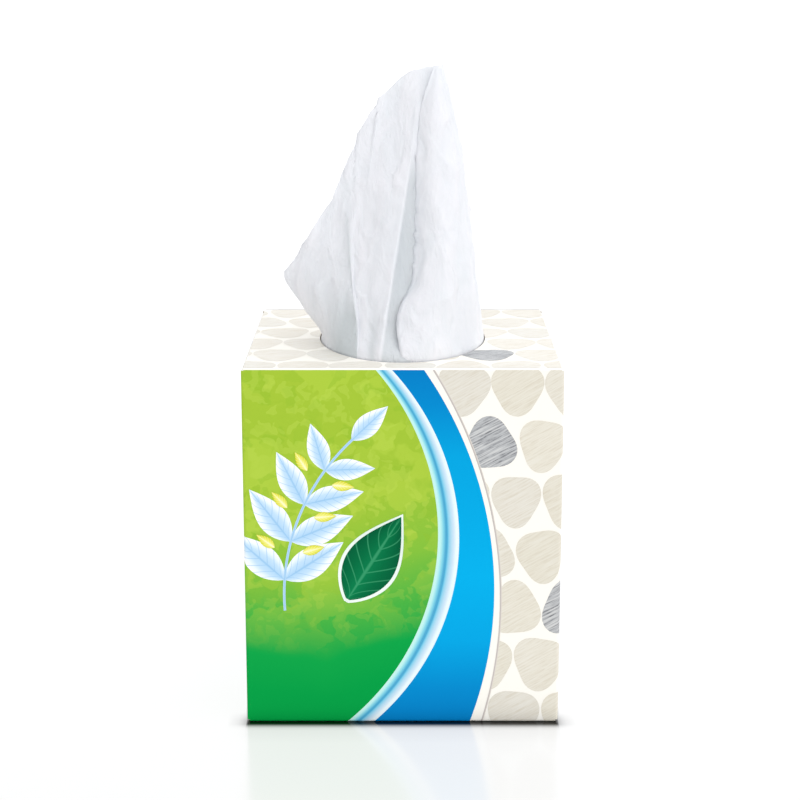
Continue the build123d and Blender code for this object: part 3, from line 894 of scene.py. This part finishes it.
# STANDING TISSUE
# The next two-ply tissue, pulled half way up through the oval. It winds once round: a smooth flap on the right
# laps over a deep soft valley, a pleat and a broad fold on the left, and its upper edge hangs free on a slant.

# The winding at seven heights above the table, all in millimetres. Its places: the flap's free edge, the flap's
# front, right front, right fold, three on the back, left fold, left front, crest, crease, end of the pleat,
# lip of the valley, floor of the valley, and the hidden end behind the flap
tissue_levels = (
    (93.5, ((-0.5, -43.0), (10.2, -42.8), (25.6, -23.4), (28.6, 3.0), (21.5, 18.0), (-2, 14.0), (-20.5, 11.5),
            (-28.2, -10.0), (-23.9, -26.4), (-15.0, -35.8), (-14.0, -34.6), (-10.5, -36.6), (-7.6, -42.0),
            (-4.4, -39.8), (7, -38.0))),
    (129.5, ((-0.5, -44.3), (10.5, -44.0), (26.3, -24.0), (29.6, 3.0), (22, 19), (-2, 15), (-21, 12),
             (-29.0, -10.5), (-24.5, -26.9), (-15.4, -36.9), (-14.4, -35.6), (-10.7, -37.9), (-7.7, -43.3),
             (-4.5, -41.0), (7, -39.4))),
    (143.5, ((-2.0, -39.8), (12, -40.5), (25.8, -24.2), (28.6, 0), (21.5, 14), (-1.5, 10.5), (-22.5, 8),
             (-37.0, -11), (-27.0, -24.2), (-16.6, -32.4), (-15.7, -31.4), (-11.3, -33.3), (-6.0, -38.6),
             (-3.4, -35.8), (8, -34.6))),
    (156.5, ((3.0, -34.5), (13, -37.0), (23.9, -24.5), (26.4, -4), (21, 9), (-1, 6), (-24, 4), (-45, -10),
             (-30, -20.5), (-18.1, -27.6), (-17.2, -26.9), (-12.0, -28.6), (-3.8, -33.8), (-1.4, -30.6),
             (10, -29.6))),
    (197.5, ((4.8, -25.5), (11.5, -27.2), (19.0, -20.5), (22.2, -9.5), (17, -1), (2, -2.5), (-24, -3.5),
             (-50, -9), (-30, -14.5), (-19.5, -17.3), (-14.0, -18.8), (-8.0, -20.3), (2.6, -24.6),
             (4.4, -23.4), (11.5, -22.2))),
    (216.5, ((6.6, -20.8), (11.5, -22.5), (15.8, -18.5), (18.2, -13.5), (14, -8.2), (3, -7.6), (-24, -7.0),
             (-50, -10), (-30, -13), (-18, -14.5), (-12, -15.4), (-6, -16.2), (4.6, -19.8), (7.0, -19.7),
             (11.5, -19.6))),
    (233.5, ((12.2, -16.8), (12.5, -17.2), (12.9, -16.6), (13.1, -15.6), (11, -14.2), (3, -12.4), (-22, -10.5),
             (-50, -10), (-30, -11.5), (-17, -12.4), (-11, -12.9), (-4, -13.6), (8.6, -15.4), (10.5, -15.7),
             (12.4, -15.9))),
)
# How much of its room each bend is rounded over. Above the carton all open wider, except the valley's lip
lip_share = 0.35
fold_shares = (0.9, 0.9, 0.7, 0.9, 0.9, 0.9, 0.16, 0.9, 0.5, 0.5, 0.7, lip_share, 0.9)
open_share, open_from, open_over = 0.96, 0.150, 0.04
run_steps, bend_steps = 6, 6
columns_per_fold = run_steps + bend_steps
# The free edge seen from the front, left to right: millimetres across and millimetres above the table
tissue_outline = (
    (-46.0, 151.0), (-43.3, 154.5), (-36.8, 164.2), (-29.5, 175.4), (-24.1, 185.2), (-18.6, 198.1),
    (-13.3, 210.7), (-10.8, 214.6), (-7.2, 220.0), (-4.4, 221.4), (0.9, 227.2), (6.1, 229.1), (12.6, 229.8),
    (40.0, 229.8),
)


def held(value):
    """A value held between 0 and 1."""
    return min(max(value, 0), 1)


def bell(value, middle, width, power=2):
    """A bump of height 1 round a middle, flatter on top and steeper at its sides for a higher power."""
    return exp(-((value - middle) / width) ** power)


def level_place(fold, height):
    """The place of a fold at a height, on a smooth curve through the levels, in metres."""
    heights = [level[0] / 1000 for level in tissue_levels]
    i = 0
    while i < len(heights) - 2 and height > heights[i + 1]:
        i += 1
    gap = heights[i + 1] - heights[i]
    t = (height - heights[i]) / gap
    spot = []
    for axis in (0, 1):
        values = [level[1][fold][axis] / 1000 for level in tissue_levels]

        def slope(k):
            low, high = max(k - 1, 0), min(k + 1, len(values) - 1)
            return (values[high] - values[low]) / (heights[high] - heights[low]) * gap

        spot.append((2 * t**3 - 3 * t**2 + 1) * values[i] + (t**3 - 2 * t**2 + t) * slope(i)
                    + (3 * t**2 - 2 * t**3) * values[i + 1] + (t**3 - t**2) * slope(i + 1))
    return Vector(spot)


def winding_run(height):
    """The runs and rounded folds of the tissue at a height: the same number of knots to each fold."""
    places = [level_place(fold, height) for fold in range(len(tissue_levels[0][1]))]
    knots = [places[0]]
    opened = held((height - open_from) / open_over)
    for before, fold, after, share in zip(places, places[1:], places[2:], fold_shares):
        rounding = share + (open_share - share) * (opened if share != lip_share else 0)
        room = rounding * min((before - fold).length, (after - fold).length) / 2
        start = fold + (before - fold).normalized() * room
        end = fold + (after - fold).normalized() * room
        for step in range(bend_steps + 1):
            t = step / bend_steps
            knots.append(start * (1 - t) ** 2 + fold * 2 * t * (1 - t) + end * t**2)
    return knots + [places[-1]]


def outline_height(x):
    """How high the tissue's free edge is at a place across, in metres."""
    across = x * 1000
    if across <= tissue_outline[0][0]:
        return tissue_outline[0][1] / 1000
    for (x0, z0), (x1, z1) in zip(tissue_outline, tissue_outline[1:]):
        if across <= x1:
            return (z0 + (z1 - z0) * (across - x0) / (x1 - x0)) / 1000
    return tissue_outline[-1][1] / 1000


def dense_run(height):
    """The whole run at a height. Each fold keeps its number of points, so a column follows one place upwards."""
    knots = winding_run(height)
    dense = []
    for i, (start, end) in enumerate(zip(knots, knots[1:])):
        steps = run_steps if i % (bend_steps + 1) == 0 else 1
        dense += [start.lerp(end, step / steps) for step in range(steps)]
    return dense + [knots[-1]]


height_low, height_high = 0.0995, 0.2335
level_count = 134
dense_levels = []
for step in range(level_count + 1):
    height = height_low + (height_high - height_low) * step / level_count
    dense_levels.append((height, dense_run(height)))
column_count = len(dense_levels[0][1])
row_count = 150
lowest_edge = carton_height + 0.015


def column_top(column):
    """The height at which a column of the sheet meets the free edge."""
    for (z, run), (z_next, run_next) in zip(dense_levels, dense_levels[1:]):
        gap = z - outline_height(run[column].x)
        gap_next = z_next - outline_height(run_next[column].x)
        if z > lowest_edge and gap <= 0 < gap_next:
            return z + (z_next - z) * gap / (gap - gap_next)
    return dense_levels[-1][0]


def column_place(column, z):
    """The place of a column of the sheet at a height."""
    rate = (z - dense_levels[0][0]) / (dense_levels[-1][0] - dense_levels[0][0]) * level_count
    i = min(max(int(rate), 0), level_count - 1)
    return dense_levels[i][1][column].lerp(dense_levels[i + 1][1][column], rate - i)


def ridge(spot):
    """A sharp-crested random wave from 0 to 1, for creases."""
    return (1 - abs(noise.noise(spot)) * 2.4) ** 3 if abs(noise.noise(spot)) < 0.4 else 0.0


# Dents pressed into the sheet: millimetres across and up, half sizes, lean in degrees and depth
tissue_dents = (
    (15.5, 205.0, 2.4, 4.5, 20, -0.4), (12.6, 199.0, 1.2, 3.6, 5, -0.7), (15.5, 196.0, 1.6, 2.0, 0, 0.7),
    (-30.5, 150.0, 1.5, 4.5, 24, 0.9), (-27.0, 152.5, 1.3, 4.0, 28, -0.8), (-33.5, 156.0, 1.2, 3.0, -30, 0.6),
    (-17.5, 178.0, 1.1, 3.6, 22, 0.8), (-14.5, 192.0, 0.9, 5.0, 4, -0.5), (14.0, 165.0, 1.0, 4.6, -4, 0.7),
    (8.2, 178.0, 1.3, 3.4, 0, 0.4), (13.0, 137.0, 2.6, 1.6, 40, -0.6), (21.0, 152.0, 1.5, 16.0, 12, -0.9),
    (2.5, 205.0, 1.2, 9.0, 6, -0.4), (-6.0, 190.0, 1.6, 14.0, 2, 0.4), (16.5, 183.0, 1.6, 7.0, 16, -0.5),
)


def dent_depth(spot):
    """The sum of the dents at a place on the front of the sheet."""
    if spot.y > -0.006:
        return 0.0
    depth = 0.0
    for across, up, half_width, half_height, lean, amount in tissue_dents:
        x, z = spot.x * 1000 - across, spot.z * 1000 - up
        turn = radians(lean)
        u = (x * cos(turn) - z * sin(turn)) / half_width
        v = (x * sin(turn) + z * cos(turn)) / half_height
        if abs(u) < 2.5 and abs(v) < 2.5:
            depth += amount / 1000 * exp(-u * u - v * v)
    return depth


# The free edge: a ragged cut, which hangs lower at the back, where the sheet in front of it hides it
tops = [column_top(column) for column in range(column_count)]
smooth_tops = []
edge_length = 0.0
upper_run = dense_levels[level_count * 2 // 3][1]
for column in range(column_count):
    edge_length += (upper_run[column] - upper_run[max(column - 1, 0)]).length
    near = tops[max(column - 2, 0):column + 3]
    ragged = noise.noise(Vector((edge_length * 170, 4.4, 0))) * 0.0007
    ragged += noise.noise(Vector((edge_length * 520, 9.1, 0))) * 0.0003
    behind = max(upper_run[column].y + 0.014, 0) * 0.27 + (0.0012 if upper_run[column].y > -0.012 else 0)
    smooth_tops.append(sum(near) / len(near) + ragged - behind)
sheet_rows = []
for row in range(row_count + 1):
    share = row / row_count
    places = []
    for column in range(column_count):
        z = height_low + (smooth_tops[column] - height_low) * share
        spot = column_place(column, z)
        places.append(Vector((spot.x, spot.y, z)))
    sheet_rows.append(places)

# How far the flap's free edge is tucked back onto the sheet behind it: height and depth, in millimetres
flap_tucks = ((129.5, 0.4), (140.0, 2.2), (151.0, 3.3), (168.0, 3.5), (185.0, 2.7), (197.5, 1.8), (216.5, 0.8),
              (226.0, 0.0))


def tuck_depth(z):
    """The depth of the tuck at a height, in metres."""
    for (low, first), (high, last) in zip(flap_tucks, flap_tucks[1:]):
        if z * 1000 <= high:
            return (first + (last - first) * (z * 1000 - low) / (high - low)) / 1000
    return 0.0


tissue_material = crepe_material("standing tissue paper", False)
bm = bmesh.new()
# Creases: how dense along the sheet, how slanted, how dense upwards, the seed, and the depth in metres
creases = ((48, -16, 20, 1.7, 0.0008), (90, 34, 62, 6.2, 0.0005), (150, -90, 110, 4.4, 0.0003))
# Two places where folds lie close together, in folds from the flap's free edge
left_fold, pleat_fold = 7, 9.5
# How wide a strip is shaped along the flap's free edge, and at the tip of it
flap_edge_width, tip_edge_width = 0.0055, 0.0026
# The rim of the oval presses on what fills more of the oval than this, as far as the reach, over a zone in height
rim_fill, rim_reach, rim_zone = 0.78, 0.984, 0.0055
curl_rows = 6
# Painted shade: the tissue's colour is darkened in the valley, the low left zone, the crest and the pleat, where the
# sheet lies in the shade of its folds and no further layer backs it, so the unlit inside shows through a little
painted_crease_shade = bm.verts.layers.float.new("painted_crease_shade")
sheet_verts = []
for row, places in enumerate(sheet_rows):
    line = []
    run_length = 0.0
    for column, spot in enumerate(places):
        run_length += (spot - places[max(column - 1, 0)]).length
        chord = places[min(column + 7, column_count - 1)] - places[max(column - 7, 0)]
        side = Vector((chord.y, -chord.x, 0))
        side = side.normalized() if side.length > 0 else Vector((0, -1, 0))

        # Random waves and creases, calmer where folds lie close together and behind the flap
        above_rim = held((spot.z - carton_height) / 0.012)
        push = noise.noise(Vector((run_length * 62 + spot.z * 9, spot.z * 13, 3.3))) * 0.0010
        push += noise.noise(Vector((run_length * 30, spot.z * 22, 8.1))) * 0.0009 * above_rim
        for along, slant, up, seed, depth in creases:
            push += ridge(Vector((run_length * along + spot.z * slant, spot.z * up, seed))) * depth * above_rim
        push += noise.noise(Vector((run_length * 230, spot.z * 150, 2.9))) * 0.00035 - 0.0005 * above_rim
        if spot.x > 0.006:
            push *= 1 - 0.85 * held((spot.z - 0.200) / 0.018)
        fold = (column + 3) / columns_per_fold
        push *= 1 - 0.8 * bell(fold, left_fold, 0.5) - 0.7 * bell(fold, pleat_fold, 0.7, 4)
        hidden = held((column - column_count + 2 * columns_per_fold) / columns_per_fold)
        push *= 1 - 0.7 * hidden
        push += dent_depth(spot) * -side.y * (1 - hidden)
        if row > row_count - curl_rows:
            curl = noise.noise(Vector((run_length * 130, 5.5, 0))) * (1 - bell(fold, left_fold, 0.5))
            push += (row - row_count + curl_rows) / curl_rows * curl * 0.0010
        place = spot + side * push

        # The rim of the oval presses the sheet in
        fill = hypot(place.x / (oval_width / 2), place.y / (oval_length / 2))
        if fill > rim_fill:
            near_rim = bell(spot.z, carton_height - board, rim_zone)
            press = held((fill - rim_fill) / 0.08) * near_rim * held((0.016 - place.y) / 0.010)
            scale = 1 + press * (rim_reach / fill - 1)
            place.x, place.y = place.x * scale, place.y * scale

        # The flap's free edge is tucked back and a little ragged, and its tip curls over
        if run_length < flap_edge_width and carton_height < spot.z < 0.226:
            ragged = noise.noise(Vector((spot.z * 330, 1.1, 7.7)))
            ragged += 0.8 * noise.noise(Vector((spot.z * 900, 3.3, 5.1)))
            share = (1 - run_length / flap_edge_width) ** 1.6
            place += Vector((0.0009 * ragged * bell(spot.z, 0.168, 0.017), tuck_depth(spot.z), 0)) * share
        if run_length < tip_edge_width and spot.z > 0.214:
            share = (1 - run_length / tip_edge_width) ** 2 * held((spot.z - 0.214) / 0.008)
            place += Vector((0.0003, -0.0007, 0)) * share

        vert = bm.verts.new(place)
        # Painted shade in the recesses: the valley, the low left zone, the crest and the pleat
        valley = 0.72 * held((fold - 12.05) / 0.4) * held((0.203 - spot.z) / 0.012)
        low_left = 1.9 * bell(fold, 8.6, 0.6) * bell(spot.z, 0.128, 0.019)
        crest = 0.64 * bell(fold, 8.85, 0.25) * bell(spot.z, 0.163, 0.017)
        pleat = 0.6 * bell(fold, 11.3, 0.3) * held((0.152 - spot.z) / 0.02)
        vert[painted_crease_shade] = min(max(valley, low_left, crest, pleat), 1)
        line.append(vert)
    sheet_verts.append(line)
for low, high in zip(sheet_verts, sheet_verts[1:]):
    for column in range(column_count - 1):
        bm.faces.new((low[column], low[column + 1], high[column + 1], high[column]))
standing_tissue = finish_mesh(bm, "standing_tissue_sheet", tissue_material, True)
thickness = standing_tissue.modifiers.new("thickness", "SOLIDIFY")
thickness.thickness = sheet_thickness
thickness.offset = 0
bpy.context.view_layer.objects.active = standing_tissue
with bpy.context.temp_override(object=standing_tissue):
    bpy.ops.object.modifier_apply(modifier="thickness")
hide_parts("standing_tissue")

# TABLE, LIGHT AND CAMERA
# A plain white studio table with a faint sheen and an even glow, and a soft surround that is dimmer from the left.
# A painted contact shadow darkens the table's colour and glow round the carton's base, most in front. The camera
# looks slightly down on the box.

floor_material, nodes, shader = new_material(
    "studio table", Roughness=0.18, Specular_IOR_Level=0.42, Emission_Strength=0.75,
)
place = add_node(nodes, "ShaderNodeTexCoord").outputs["Object"]
parts = parts_of(nodes, place)
# Painted shadow: the table falls towards black over a band in front of the carton and a thin rim round its base
in_front = maths(nodes, "SUBTRACT", maths(nodes, "MULTIPLY", parts["Y"], -1.0), half_side - fold_radius)
beside = maths(nodes, "SUBTRACT", maths(nodes, "ABSOLUTE", parts["X"]), half_side)
shade_in_front, shade_beside, shade_behind, rim_width = 0.020, 0.008, 0.008, 0.0015
falloff_front = ramp(
    nodes, maths(nodes, "DIVIDE", in_front, shade_in_front),
    (0.0, 1), (0.14, 1), (0.17, 0.94), (0.25, 0.5), (0.33, 0.16), (0.45, 0.06), (1.0, 0),
)
falloff_beside = ramp(
    nodes, maths(nodes, "DIVIDE", beside, shade_beside), (0.0, 1), (0.05, 0.5), (0.22, 0.3), (0.4, 0.17), (0.9, 0),
)
behind_share = maths(nodes, "MULTIPLY_ADD", in_front, 1 / shade_behind, 1.0)
painted_front_shadow = maths(nodes, "MULTIPLY", maths(nodes, "MULTIPLY", falloff_front, falloff_beside),
                   add_node(nodes, "ShaderNodeClamp", Value=behind_share).outputs[0])
beyond_base = vector_maths(nodes, "SUBTRACT", vector_maths(nodes, "ABSOLUTE", place), (half_side, half_side, 0))
away = vector_maths(nodes, "LENGTH", vector_maths(nodes, "MAXIMUM", beyond_base))
painted_rim_shadow = ramp(nodes, maths(nodes, "DIVIDE", away, rim_width), (0.0, 0.8), (0.5, 0.25), (1.0, 0))
painted_contact_shadow = maths(nodes, "MAXIMUM", painted_front_shadow, painted_rim_shadow)
painted_shadow_black = (0.0, 0.0, 0.0, 1)
feed(shader.inputs["Base Color"], mix_colour(nodes, painted_contact_shadow, (0.12, 0.12, 0.12, 1), painted_shadow_black))
feed(shader.inputs["Emission Color"], mix_colour(nodes, painted_contact_shadow, (1.0, 1.0, 1.0, 1), painted_shadow_black))
bm = bmesh.new()
bmesh.ops.create_grid(bm, x_segments=8, y_segments=8, size=30)
table_mesh = bpy.data.meshes.new("studio_table")
bm.to_mesh(table_mesh)
bm.free()
table_mesh.materials.append(floor_material)
table = bpy.data.objects.new("studio_table", table_mesh)
bpy.context.scene.collection.objects.link(table)

surround = bpy.data.worlds.new("studio surround")
surround.use_nodes = True
nodes = surround.node_tree.nodes
parts = parts_of(nodes, add_node(nodes, "ShaderNodeTexCoord").outputs["Generated"])
from_above = maths(nodes, "MULTIPLY", maths(nodes, "MAXIMUM", parts["Z"], 0.0), 0.06)
from_front = maths(nodes, "MULTIPLY_ADD", parts["Y"], -0.12, 1.35)
from_left = maths(nodes, "MULTIPLY", maths(nodes, "MINIMUM", parts["X"], 0.0), 0.8)
strength = maths(nodes, "ADD", from_above, maths(nodes, "ADD", from_front, from_left))
set_inputs(nodes["Background"], {"Color": (0.985, 0.99, 1.0, 1), "Strength": strength})
bpy.context.scene.world = surround

camera_data = bpy.data.cameras.new("camera")
camera_data.lens = 86.46
camera_data.sensor_width = 36
camera_data.clip_end = 100
camera = bpy.data.objects.new("camera", camera_data)
camera.location = (-0.0009, -0.69852, 0.27017)
camera.rotation_euler = (radians(76.715), 0, 0)
bpy.context.scene.collection.objects.link(camera)
bpy.context.scene.camera = camera
bpy.context.scene.view_settings.view_transform = "Standard"
